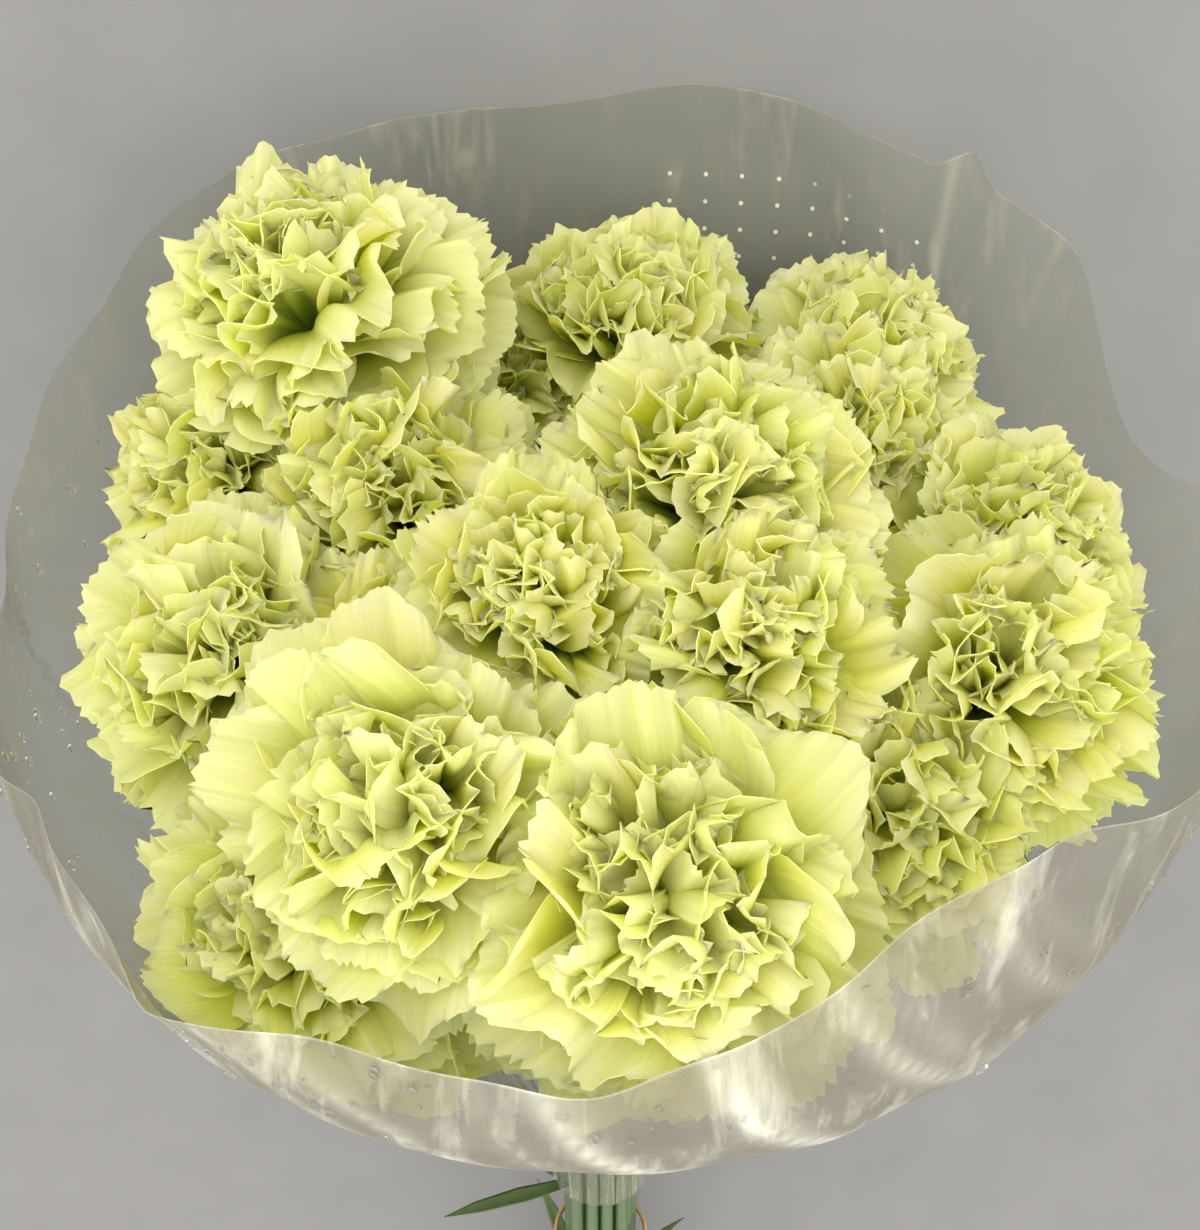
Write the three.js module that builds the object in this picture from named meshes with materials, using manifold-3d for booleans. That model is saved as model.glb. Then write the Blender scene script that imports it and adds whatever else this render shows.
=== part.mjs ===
// A bunch of double carnations in a clear film sleeve, laid on its back on a table.
//
// Every flower is a bloom of toothed, waved petals in five rings, on a jointed stem with its calyx
// and leaves. The stems are packed side by side in a rubber band below the sleeve. The sleeve is a
// thin open-ended funnel with a waved rim; the table presses its lower side flat.
//
// The flowers are placed in the bunch's own frame: z runs up the bunch from the sleeve's neck to the
// flowers, x across it, and y towards the side that it lies on. lay() turns that frame down onto the
// table, where +Z is up, the flowers point to -Y and the origin is on the table under the flowers.
import * as THREE from 'three';
import { mergeVertices } from 'three/addons/utils/BufferGeometryUtils.js';
import Module from 'manifold-3d';

const wasm = await Module();
wasm.setup();

// ---- driving dimensions, in millimetres and degrees ----
const BUNCH_TILT = 13.5; // how far the bunch's axis rises from the table towards the flowers
const NECK_HEIGHT = 72; // from the table up to the axis at the sleeve's neck
const FLOWERS_AT = 225; // along the axis from the neck to the middle of the flowers
const CLEARANCE = 0.3; // left between pieces that touch

const BLOOM_SIZE = 84; // across a full bloom
const BLOOM_RISE = 43; // from the calyx mouth to the top of a full bloom
const FACE_HEIGHT = 17; // from the calyx mouth up to the middle of the bloom
const MOUTH_RADIUS = 5.4; // of the petals' claws where they leave the calyx
const PETALS = 5; // in each ring
const PETAL_THICK = 1.5;
const PETAL_WAVE = 4.6;
const PETAL_TOOTH = 3.5;
const PETAL_SPLIT = 9; // how far neighbouring petals of a ring part at the edge
const CREVICE = 0.6; // how far out the rings part, over their reach
const UNDERSIDE = 100; // how far the bloom's underside slopes from upright
const PRESS_FREE = 0.82; // of the way to a bloom's limit before it's pressed in
const PETAL_LEAN = 4; // from petal to petal of a ring, in degrees

const STEM_RADIUS = 2.5;
const STEM_SIDES = 6;
const STEM_GAP = 0.45; // between the stems in the band
const STEM_RISE = 0.4; // of the way up that a stem keeps straight on before it bends
const STEM_TURN = 50; // how far below the bloom it comes round to the bloom's own direction
const JOINT_RADIUS = 3.2;
const JOINT_LENGTH = 9;
const JOINTS_AT = -142; // along the axis, below the band
const JOINT_STAGGER = 17; // from one stem's joint to the next one's
const UPPER_JOINT = 0.62; // of the way along the bend
const CALYX_LENGTH = 27;
const CALYX_RADIUS = 6.4;
const END_SPREAD = 1.5; // the stems' spread at the cut ends over their spread in the band

const LEAF_WIDTH = 6.5;
const LEAF_THICK = 0.9;

const FILM_THICK = 0.9;
const FILM_SLICES = 38;
const FILM_CLEARANCE = 2; // between the petals and the film
const BAND_AT = -72; // along the axis from the neck
const BAND_THICK = 1.4;
const BAND_WIDTH = 4;
const BAND_FOOT = BAND_AT - BAND_WIDTH; // from here down the stems spread

// Each bloom's middle in the bunch's frame, and its size over BLOOM_SIZE.
const BLOOMS = [
  { at: [-75, 55, 283], size: 1.08 },
  { at: [7, 91, 255], size: 1.04 },
  { at: [75, 91, 242], size: 0.98 },
  { at: [-52, 9, 252], size: 0.95 },
  { at: [-100, 42, 239], size: 0.95 },
  { at: [25, -9, 269], size: 1.04 },
  { at: [-88, -28, 235], size: 1.02 },
  { at: [-13, -45, 265], size: 0.9 },
  { at: [33, -52, 260], size: 0.9 },
  { at: [102, 12, 236], size: 0.98 },
  { at: [93, -39, 237], size: 1.04 },
  { at: [63, -68, 224], size: 0.96 },
  { at: [-38, -88, 245], size: 1.06 },
  { at: [14, -104, 236], size: 1.08 },
  { at: [-28, 84, 236], size: 0.9 },
  { at: [-64, -87, 205], size: 0.98 },
  { at: [66, 45, 248], size: 0.94 },
  { at: [-49, -40, 243], size: 0.8 },
];
// The blooms look away from this point, so the front ones nod forwards and the back ones stay upright.
const FACING_FROM = new THREE.Vector3(0, 130, 20);

// How far each ring of petals opens from upright, in degrees, from the outside in.
const PETAL_RINGS = [100, 74, 52, 32, 13];
// A petal's edge, going round the ring: place over the petal's width, wave and depth of the cut.
const PETAL_EDGE = [
  { at: 0.09, wave: -1, cut: 1 },
  { at: 0.36, wave: 1, cut: 0 },
  { at: 0.62, wave: -0.8, cut: 0.3 },
  { at: 0.91, wave: 1, cut: 0.9 },
];

// The leaves outside the sleeve: which stem they grow on, where along the axis, and how far the pair
// reaches out and up. Each leaf of a pair points to one side of straight out from the axis, in degrees.
const LEAF_PAIRS = [
  { on: 10, at: -36, out: 62, rise: 26, aside: 24 },
  { on: 7, at: -37, out: 50, rise: 22, aside: 28 },
  { on: 5, out: 26, rise: 44, aside: 34 },
  { on: 16, out: 26, rise: 60, aside: 34 },
  { on: 14, out: 30, rise: 42, aside: 22 },
  { on: 12, out: 28, rise: 74, aside: 34 },
  { on: 3, out: 24, rise: 68, aside: 32 },
];

// The sleeve's outside below its rim: [along the axis, radius].
const SLEEVE_PROFILE = [
  [-26, 17.6],
  [8, 18.6],
  [60, 36],
  [112, 74],
  [160, 116],
  [192, 143],
  [212, 150],
];
// The sleeve's rim: [bearing round the axis, radius, along the axis]. It lies on the side at bearing 90.
const SLEEVE_RIM = [
  [-180, 151, 240],
  [-157, 150, 232],
  [-135, 150, 256],
  [-125, 157, 232],
  [-105, 143, 228],
  [-88, 141, 217],
  [-72, 141, 238],
  [-61, 144, 278],
  [-48, 150, 262],
  [-25, 161, 252],
  [0, 163, 246],
  [10, 156, 253],
  [16, 151, 242],
  [22, 150, 239],
  [25, 153, 262],
  [28, 156, 286],
  [34, 156, 284],
  [40, 157, 283],
  [44, 158, 288],
  [48, 163, 298],
  [52, 158, 290],
  [61, 155, 296],
  [77, 150, 308],
  [97, 150, 298],
  [121, 150, 299],
  [143, 154, 290],
  [161, 152, 266],
  [180, 151, 240],
];

// ---- the bunch's frame and the table ----
const tilt = THREE.MathUtils.degToRad(BUNCH_TILT);
const flowersAlong = FLOWERS_AT * Math.cos(tilt);

/** A point of the bunch's frame, laid on the table. */
function lay(p) {
  return new THREE.Vector3(
    -p.x,
    -p.y * Math.sin(tilt) - p.z * Math.cos(tilt) + flowersAlong,
    heightOverTable(p),
  );
}

function heightOverTable(p) {
  return NECK_HEIGHT + p.z * Math.sin(tilt) - p.y * Math.cos(tilt);
}

// ---- small helpers ----
/** Repeatable random numbers from 0 to 1. */
function seeded(seed) {
  let state = seed * 2654435761;
  return () => {
    state = (state + 0x6d2b79f5) | 0;
    let t = Math.imul(state ^ (state >>> 15), 1 | state);
    t = (t + Math.imul(t ^ (t >>> 7), 61 | t)) ^ t;
    return ((t ^ (t >>> 14)) >>> 0) / 4294967296;
  };
}

/** The value at x on a line through [x, value] points. */
function along(points, x, column = 1) {
  let i = 1;
  while (i < points.length - 1 && points[i][0] < x) i += 1;
  const [from, to] = [points[i - 1], points[i]];
  return THREE.MathUtils.mapLinear(x, from[0], to[0], from[column], to[column]);
}

function toSolid(geometry) {
  const bare = geometry.clone();
  bare.deleteAttribute('normal');
  bare.deleteAttribute('uv');
  const merged = mergeVertices(bare, 1e-4);
  return new wasm.Manifold(
    new wasm.Mesh({
      numProp: 3,
      vertProperties: new Float32Array(merged.attributes.position.array),
      triVerts: new Uint32Array(merged.index.array),
    }),
  );
}

function toGeometry(solid) {
  const mesh = solid.getMesh();
  const geometry = new THREE.BufferGeometry();
  geometry.setAttribute('position', new THREE.BufferAttribute(mesh.vertProperties, 3));
  geometry.setIndex(new THREE.BufferAttribute(mesh.triVerts, 1));
  return geometry;
}

/**
 * A closed body through rings of points, from one end point to the other or, when it's a loop, back
 * to the first ring. A mirrored strip is split along its other diagonals, so that both faces of a thin
 * wall are split alike.
 */
function loft(rings, { mirrored = () => false, loop = false } = {}) {
  const index = [];
  const starts = [];
  let count = 0;
  for (const ring of rings) {
    starts.push(count);
    count += ring.length;
  }
  const corner = (r, i) => starts[r] + (rings[r].length > 1 ? i % rings[r].length : 0);
  for (let r = 0; r < rings.length - (loop ? 0 : 1); r += 1) {
    const after = (r + 1) % rings.length;
    const sides = Math.max(rings[r].length, rings[after].length);
    for (let i = 0; i < sides; i += 1) {
      const [a, b, c, d] = [corner(r, i), corner(r, i + 1), corner(after, i), corner(after, i + 1)];
      const faces = mirrored(r) ? [[a, b, d], [a, d, c]] : [[a, b, c], [b, d, c]];
      index.push(...faces.filter((face) => new Set(face).size === 3).flat());
    }
  }
  const geometry = new THREE.BufferGeometry();
  const position = rings.flat().flatMap((p) => p.toArray());
  geometry.setAttribute('position', new THREE.Float32BufferAttribute(position, 3));
  geometry.setIndex(index);
  return geometry;
}

/** Joins closed geometries into one body: loose scraps and sealed hollows are left out. */
function fuse(geometries) {
  const joined = geometries.map(toSolid).reduce((whole, piece) => whole.add(piece));
  const bodies = joined.decompose();
  const largest = bodies.reduce((best, body) => (body.volume() > best.volume() ? body : best));
  return toGeometry(largest.simplify(0.02));
}

/**
 * A closed blade from rows of middle points that run across it, each with the normal that looks back
 * along the blade's turn from left to right. Both faces are split alike, so they can't cross.
 */
function blade(rows, thickness) {
  const points = rows.flat();
  const position = [];
  for (const side of [0.5, -0.5]) {
    for (const { mid, normal } of points) {
      position.push(...mid.clone().addScaledVector(normal, side * thickness).toArray());
    }
  }
  const starts = rows.map((row, i) => rows.slice(0, i).reduce((n, r) => n + r.length, 0));
  const face = [];
  for (let r = 0; r + 1 < rows.length; r += 1) {
    const [near, far] = [rows[r].length - 1, rows[r + 1].length - 1];
    let [i, j] = [0, 0];
    while (i < near || j < far) {
      const step = i / Math.max(near, 1) <= j / Math.max(far, 1) && i < near;
      if (step) {
        face.push([starts[r] + i, starts[r] + i + 1, starts[r + 1] + j]);
        i += 1;
      } else {
        face.push([starts[r] + i, starts[r + 1] + j + 1, starts[r + 1] + j]);
        j += 1;
      }
    }
  }
  const count = points.length;
  const index = [];
  const edges = new Map();
  for (const [a, b, c] of face) {
    index.push(a, b, c, a + count, c + count, b + count);
    for (const [from, to] of [[a, b], [b, c], [c, a]]) {
      if (!edges.delete(`${to},${from}`)) edges.set(`${from},${to}`, [from, to]);
    }
  }
  for (const [from, to] of edges.values()) {
    index.push(to, from, from + count, to, from + count, to + count);
  }
  const geometry = new THREE.BufferGeometry();
  geometry.setAttribute('position', new THREE.Float32BufferAttribute(position, 3));
  geometry.setIndex(index);
  return geometry;
}

function moveVertices(geometry, move) {
  const position = geometry.attributes.position;
  const p = new THREE.Vector3();
  for (let i = 0; i < position.count; i += 1) {
    move(p.fromBufferAttribute(position, i));
    position.setXYZ(i, p.x, p.y, p.z);
  }
  return geometry;
}

// ---- the flowers' places ----
const flowers = BLOOMS.map(({ at, size }, i) => {
  const middle = new THREE.Vector3(...at);
  const facing = middle.clone().sub(FACING_FROM).normalize();
  return {
    number: i + 1,
    middle,
    facing,
    radius: (size * BLOOM_SIZE) / 2,
    mouth: middle.clone().addScaledVector(facing, -FACE_HEIGHT),
    turn: new THREE.Quaternion().setFromUnitVectors(new THREE.Vector3(0, 0, 1), facing),
  };
});

/** The stems' places in the band: drawn in towards the axis, then pushed apart until none overlap. */
function packStems() {
  const spacing = 2 * STEM_RADIUS + STEM_GAP;
  const places = flowers.map(({ middle }) => new THREE.Vector2(middle.x, middle.y).multiplyScalar(0.14));
  for (let round = 0; round < 400; round += 1) {
    const pull = round < 300 ? 0.985 : 1;
    places.forEach((place) => place.multiplyScalar(pull));
    for (let i = 0; i < places.length; i += 1) {
      for (let j = i + 1; j < places.length; j += 1) {
        const apart = places[j].clone().sub(places[i]);
        const short = spacing - apart.length();
        if (short > 0) {
          apart.setLength(short / 2);
          places[i].sub(apart);
          places[j].add(apart);
        }
      }
    }
  }
  return places;
}
const inBand = packStems();
const bundleRadius = Math.max(...inBand.map((place) => place.length())) + STEM_RADIUS;

// The cut ends are where the lowest stem comes down to the table.
const lowestStem = Math.max(...inBand.map((place) => place.y));
const endDrop = (END_SPREAD * lowestStem + STEM_RADIUS) * Math.cos(tilt) + STEM_RADIUS * Math.sin(tilt);
const STEMS_END = -(NECK_HEIGHT - endDrop) / Math.sin(tilt);

// ---- the sleeve's shape ----
function rimAt(bearing) {
  return { radius: along(SLEEVE_RIM, bearing, 1), z: along(SLEEVE_RIM, bearing, 2) };
}

/** The sleeve's radius at a bearing and a place along the axis, before the table flattens it. */
function sleeveRadius(bearing, z) {
  const [widestAt, widest] = SLEEVE_PROFILE[SLEEVE_PROFILE.length - 1];
  if (z <= widestAt) return along(SLEEVE_PROFILE, z);
  const rim = rimAt(bearing);
  return THREE.MathUtils.mapLinear(Math.min(z, rim.z), widestAt, rim.z, widest, rim.radius);
}

/** How deep a point lies inside the film and over the table; negative when it doesn't. */
function roomAt(p) {
  const bearing = THREE.MathUtils.radToDeg(Math.atan2(p.y, p.x));
  const inSleeve = sleeveRadius(bearing, p.z) - Math.hypot(p.x, p.y);
  return Math.min(inSleeve, heightOverTable(p)) - FILM_THICK;
}

// ---- blooms ----
/** How far a bloom may reach from its middle before it meets a neighbour, the film or the table. */
function reachLimit(flower, direction) {
  let limit = 2 * flower.radius;
  for (const other of flowers) {
    if (other === flower) continue;
    const apart = other.middle.clone().sub(flower.middle);
    const slope = direction.dot(apart.clone().normalize());
    const share = flower.radius / (flower.radius + other.radius);
    if (slope > 0) limit = Math.min(limit, (apart.length() * share - CLEARANCE / 2) / slope);
  }
  const outside = (t) => roomAt(flower.middle.clone().addScaledVector(direction, t)) < FILM_CLEARANCE;
  if (outside(limit)) {
    let [inside, beyond] = [0, limit];
    for (let i = 0; i < 12; i += 1) {
      const t = (inside + beyond) / 2;
      if (outside(t)) beyond = t;
      else inside = t;
    }
    limit = inside;
  }
  return limit;
}

/** Presses a point of a bloom in, softly, so that it stays short of what surrounds the bloom. */
function press(flower, p) {
  const offset = p.clone().sub(flower.middle);
  const length = offset.length();
  if (length === 0) return;
  const limit = reachLimit(flower, offset.divideScalar(length));
  const used = length / limit;
  const room = 1 - PRESS_FREE;
  const kept = used < PRESS_FREE ? used : 1 - room * Math.exp((PRESS_FREE - used) / room);
  p.copy(flower.middle).addScaledVector(offset, kept * limit);
}

/** A point of the bloom's frame, z up the bloom: at a bearing, opened from upright, so long and lifted. */
function bloomPoint(bearing, open, length, lift = 0) {
  const out = length * Math.sin(open) - lift * Math.cos(open);
  const up = length * Math.cos(open) + lift * Math.sin(open);
  return new THREE.Vector3(out * Math.cos(bearing), out * Math.sin(bearing), up);
}

/** The outer and the inner side of one ring's edge: waved, toothed, and split between the petals. */
function petalEdge({ size, reach, open, start, turned, random }) {
  const sides = [[], []];
  const perPetal = PETAL_EDGE.length;
  const fullness = 0.3 + 0.7 * Math.sin(Math.min(open, Math.PI / 2));
  let lean = 0;
  for (let i = 0; i < PETALS * perPetal; i += 1) {
    const slot = i + turned;
    if (i === 0 || slot % perPetal === 0) lean = THREE.MathUtils.degToRad(PETAL_LEAN * (random() - 0.5));
    const { at, wave, cut } = PETAL_EDGE[slot % perPetal];
    const bearing = start + (2 * Math.PI * (Math.floor(slot / perPetal) + at - turned / perPetal)) / PETALS;
    const depth = cut * PETAL_SPLIT * fullness + PETAL_TOOTH * random();
    const lift = wave * PETAL_WAVE * fullness * (0.7 + 0.5 * random()) * size;
    sides.forEach((side, k) => {
      side.push(bloomPoint(bearing, open + lean, reach - depth * size, lift + (k - 0.5) * PETAL_THICK));
    });
  }
  return sides;
}

/** A bloom is one loft: up the outside of each ring of petals, over its edge, down to the next crevice. */
function bloom(flower) {
  const random = seeded(flower.number);
  const size = (2 * flower.radius) / BLOOM_SIZE;
  const start = 2 * Math.PI * random();
  const steps = PETALS * PETAL_EDGE.length;
  const rise = BLOOM_RISE * size;
  const reachAt = (open) => 1 / Math.hypot(Math.sin(open) / flower.radius, Math.cos(open) / rise);
  const circle = (open, length) =>
    Array.from({ length: steps }, (_, i) => {
      const bearing = start + (2 * Math.PI * (i + 0.5)) / steps;
      return bloomPoint(bearing, open, length);
    });

  const opens = PETAL_RINGS.map(THREE.MathUtils.degToRad);
  const mouth = [[new THREE.Vector3()], circle(Math.PI / 2, MOUTH_RADIUS)];
  const rings = [circle(THREE.MathUtils.degToRad(UNDERSIDE), flower.radius / 2)];
  opens.forEach((open, k) => {
    const turned = k % 2 ? PETAL_EDGE.length / 2 : 0;
    rings.push(...petalEdge({ size, reach: reachAt(open), open, start, turned, random }));
    const parting = (open + (opens[k + 1] ?? 0)) / 2;
    rings.push(circle(parting, CREVICE * reachAt(parting)));
  });
  rings.push([bloomPoint(0, 0, CREVICE * rise)]);

  for (const p of [...mouth, ...rings].flat()) p.applyQuaternion(flower.turn).add(flower.mouth);
  for (const p of rings.flat()) press(flower, p);
  const innerFace = (strip) => strip > mouth.length && (strip - mouth.length) % 3 === 2;
  return loft([...mouth, ...rings], { mirrored: innerFace });
}

// ---- stems, with their calyxes and leaves ----
/** A stem's swollen joint, as how far along and how thick. */
function jointAt(far) {
  return [
    [far - JOINT_LENGTH / 2, STEM_RADIUS],
    [far, JOINT_RADIUS],
    [far + JOINT_LENGTH / 2, STEM_RADIUS],
  ];
}

function ringRound(middle, direction, radius) {
  const side = new THREE.Vector3(1, 0, 0).projectOnPlane(direction).normalize();
  const up = direction.clone().normalize().cross(side);
  return Array.from({ length: STEM_SIDES }, (_, i) => {
    const a = (2 * Math.PI * i) / STEM_SIDES;
    const [out, over] = [radius * Math.cos(a), radius * Math.sin(a)];
    return middle.clone().addScaledVector(side, out).addScaledVector(up, over);
  });
}

function lowerJoint(flower) {
  return JOINTS_AT + JOINT_STAGGER * ((flower.number % 3) - 1);
}

/** The stem's middle below the neck, at a place along the axis. */
function stemBelow(place, z) {
  const spread = THREE.MathUtils.mapLinear(Math.min(z, BAND_FOOT), BAND_FOOT, STEMS_END, 1, END_SPREAD);
  return new THREE.Vector3(spread * place.x, spread * place.y, z);
}

/** A stem runs straight from its cut end through the band, then bends out to its bloom and its calyx. */
function stem(flower, place) {
  const { facing, mouth } = flower;
  const below = (z, radius) => ringRound(stemBelow(place, z), stemBelow(place, BAND_FOOT).sub(end), radius);
  const end = stemBelow(place, STEMS_END);
  const neck = stemBelow(place, 0);
  const straightUp = new THREE.Vector3(0, 0, 1);

  const upFacing = (far) => mouth.clone().addScaledVector(facing, far);
  const foot = upFacing(-CALYX_LENGTH);
  const rise = neck.clone().setZ(STEM_RISE * foot.z);
  const bend = new THREE.CubicBezierCurve3(neck, rise, upFacing(-CALYX_LENGTH - STEM_TURN), foot);
  const bendLength = bend.getLength();
  const onBend = ([far, radius]) => {
    const share = far / bendLength;
    return ringRound(bend.getPointAt(share), bend.getTangentAt(share), radius);
  };
  const plain = (share) => [share * bendLength, STEM_RADIUS];
  const joint = jointAt(UPPER_JOINT * bendLength);

  const cup = [
    [-CALYX_LENGTH, STEM_RADIUS],
    [-0.91 * CALYX_LENGTH, 0.72 * CALYX_RADIUS],
    [-0.4 * CALYX_LENGTH, CALYX_RADIUS],
    [-CLEARANCE, 0.92 * CALYX_RADIUS],
  ];
  return loft([
    [end],
    below(STEMS_END, STEM_RADIUS),
    ...jointAt(lowerJoint(flower)).map(([z, radius]) => below(z, radius)),
    ringRound(stemBelow(place, BAND_FOOT), straightUp, STEM_RADIUS),
    ringRound(neck, straightUp, STEM_RADIUS),
    ...[plain(0.22), plain(0.42), ...joint, plain(0.82)].map(onBend),
    ...cup.map(([far, radius]) => ringRound(upFacing(far), facing, radius)),
    [upFacing(-CLEARANCE)],
  ]);
}

/** A leaf: a narrow blade that leaves the stem at a joint and arches out and up. */
function leaf(root, bearing, out, rise) {
  const outward = new THREE.Vector3(Math.cos(bearing), Math.sin(bearing), 0);
  const across = new THREE.Vector3(-Math.sin(bearing), Math.cos(bearing), 0);
  const early = rise > out ? 0.12 : 0.55;
  const middle = new THREE.QuadraticBezierCurve(
    new THREE.Vector2(0.7 * STEM_RADIUS, 0),
    new THREE.Vector2(early * out, (1 - early) * 0.85 * rise),
    new THREE.Vector2(out, rise),
  );
  const rows = [
    [0, 0.26],
    [0.35, 0.5],
    [0.72, 0.38],
    [1, 0.05],
  ].map(([t, half]) => {
    const { x, y } = middle.getPoint(t);
    const slope = middle.getTangent(t);
    const mid = root.clone().addScaledVector(outward, x).setZ(root.z + y);
    const normal = outward.clone().multiplyScalar(slope.y).setZ(-slope.x);
    const edges = [-half, half].map((aside) => mid.clone().addScaledVector(across, aside * LEAF_WIDTH));
    return edges.map((edge) => ({ mid: edge, normal }));
  });
  return blade(rows, LEAF_THICK);
}

function leafyStem(flower, place) {
  const pieces = [stem(flower, place)];
  for (const { on, at = lowerJoint(flower), out, rise, aside } of LEAF_PAIRS) {
    if (on !== flower.number) continue;
    const root = stemBelow(place, at);
    const straightOut = Math.atan2(place.y, place.x);
    for (const side of [-1, 1]) {
      pieces.push(leaf(root, straightOut + side * THREE.MathUtils.degToRad(aside), out, rise));
    }
  }
  return pieces.length > 1 ? fuse(pieces) : pieces[0];
}

// ---- the sleeve and the band ----
/** The film is lofted round its section: up outside, over the rim, down inside and under the neck. */
function sleeve() {
  const levels = [...SLEEVE_PROFILE, null];
  const edge = (level, inset) =>
    Array.from({ length: FILM_SLICES }, (_, i) => {
      const bearing = (360 * i) / FILM_SLICES - 180;
      const rim = rimAt(bearing);
      const [z, radius] = level ?? [rim.z, rim.radius];
      const angle = THREE.MathUtils.degToRad(bearing);
      const r = radius - inset;
      const laid = lay(new THREE.Vector3(r * Math.cos(angle), r * Math.sin(angle), z));
      laid.z = Math.max(laid.z, inset);
      return laid;
    });
  const outside = levels.map((level) => edge(level, 0));
  const inside = levels.map((level) => edge(level, FILM_THICK)).reverse();
  return loft([...outside, ...inside], { mirrored: (r) => r >= levels.length, loop: true });
}

function band() {
  const inner = bundleRadius + CLEARANCE;
  const outer = inner + BAND_THICK;
  const profile = [
    [inner, -BAND_WIDTH / 2],
    [outer, -BAND_WIDTH / 2],
    [outer, BAND_WIDTH / 2],
    [inner, BAND_WIDTH / 2],
    [inner, -BAND_WIDTH / 2],
  ].map(([r, z]) => new THREE.Vector2(r, z));
  return new THREE.LatheGeometry(profile, 18).rotateX(Math.PI / 2).translate(0, 0, BAND_AT);
}

// ---- finishes ----
const finish = (color, roughness) => new THREE.MeshStandardMaterial({ color, roughness, metalness: 0 });
const PETAL = finish(0xdfe9a4, 0.62);
const GREEN = finish(0x6f8c5c, 0.6);
const FILM = finish(0xeef2ea, 0.12);
FILM.transparent = true;
FILM.opacity = 0.3;
const RUBBER = finish(0xc9a36a, 0.7);

// ---- the bunch ----
const carnations = new THREE.Group();
const layGeometry = (geometry) => moveVertices(geometry, (p) => p.copy(lay(p)));

function addPiece(name, geometry, material) {
  const mesh = new THREE.Mesh(geometry, material);
  mesh.name = name;
  carnations.add(mesh);
}

flowers.forEach((flower, i) => {
  const label = String(flower.number).padStart(2, '0');
  addPiece(`bloom_${label}`, layGeometry(bloom(flower)), PETAL);
  addPiece(`stem_${label}`, layGeometry(leafyStem(flower, inBand[i])), GREEN);
});
addPiece('sleeve', sleeve(), FILM);
addPiece('band', layGeometry(band()), RUBBER);

export default carnations;
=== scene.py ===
import math

import bmesh
import bpy
import numpy as np
from mathutils import Matrix, Vector


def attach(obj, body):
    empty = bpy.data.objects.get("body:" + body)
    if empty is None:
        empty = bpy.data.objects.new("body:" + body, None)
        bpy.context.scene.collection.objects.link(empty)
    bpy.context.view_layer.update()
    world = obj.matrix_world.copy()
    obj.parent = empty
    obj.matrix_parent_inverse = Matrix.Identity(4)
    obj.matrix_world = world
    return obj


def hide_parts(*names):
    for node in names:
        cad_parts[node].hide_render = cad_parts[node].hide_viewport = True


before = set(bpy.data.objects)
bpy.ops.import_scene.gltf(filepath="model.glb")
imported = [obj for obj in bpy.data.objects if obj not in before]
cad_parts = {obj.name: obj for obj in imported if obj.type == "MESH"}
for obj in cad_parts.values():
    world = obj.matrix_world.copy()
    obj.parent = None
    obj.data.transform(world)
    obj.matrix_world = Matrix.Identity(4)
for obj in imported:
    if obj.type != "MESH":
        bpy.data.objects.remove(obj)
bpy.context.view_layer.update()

# ---- the bunch's own frame, in millimetres ----
# z runs up the bunch, x across it, and y towards the side that it lies on.
BUNCH_TILT = math.radians(13.5)
NECK_HEIGHT = 72
FLOWERS_AT = 225
TILT_SIN, TILT_COS = math.sin(BUNCH_TILT), math.cos(BUNCH_TILT)

BLOOM_SIZE = 84
BLOOM_RISE = 43
FACE_HEIGHT = 17
FACING_FROM = np.array([0.0, 130.0, 20.0])
# Each bloom's middle, its size over BLOOM_SIZE, how creamy its petals are, and how broad its outer ones
# are. The creaminess is partly each bloom's own tint and partly painted light: raised on the second and
# third blooms, which lie in shade, and lowered on the 13th, 14th and 16th, nearest the key lamp.
BLOOMS = [
    ((-75, 55, 283), 1.08, 1.0, 1.2),
    ((7, 91, 255), 1.04, 0.6, 1.0),
    ((75, 91, 242), 0.98, 0.9, 1.0),
    ((-52, 9, 252), 0.95, 0.1, 1.0),
    ((-100, 42, 239), 0.95, 0.3, 1.0),
    ((25, -9, 269), 1.04, 0.3, 1.0),
    ((-88, -28, 235), 1.02, 0.8, 1.1),
    ((-13, -45, 265), 0.9, 0.0, 1.0),
    ((33, -52, 260), 0.9, 0.2, 1.0),
    ((102, 12, 236), 0.98, 0.45, 1.0),
    ((93, -39, 237), 1.04, 0.4, 1.0),
    ((63, -68, 224), 0.96, 0.4, 1.0),
    ((-38, -88, 245), 1.06, 0.75, 1.3),
    ((14, -104, 236), 1.08, 0.75, 1.4),
    ((-28, 84, 236), 0.9, 0.1, 1.0),
    ((-64, -87, 205), 0.98, 0.35, 1.4),
    ((66, 45, 248), 0.94, 0.4, 1.0),
    ((-49, -40, 243), 0.8, 0.1, 1.0),
]

STEM_RADIUS = 2.5
STEM_GAP = 0.45
JOINT_RADIUS = 3.2
JOINT_LENGTH = 9
JOINTS_AT = -142
JOINT_STAGGER = 17
UPPER_JOINT = 0.62
STEM_RISE = 0.4
STEM_TURN = 50
CALYX_LENGTH = 27
END_SPREAD = 1.5
# Which stem carries a pair of leaves, where (None for its lower joint), and how far they go out, up, aside.
LEAF_PAIRS = [
    (10, -36, 62, 26, 24),
    (7, -37, 50, 22, 28),
    (5, None, 26, 44, 34),
    (16, None, 26, 60, 34),
    (14, None, 30, 42, 22),
    (12, None, 28, 74, 34),
    (3, None, 24, 68, 32),
]
LEAF_WIDTH = 6.5

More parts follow.
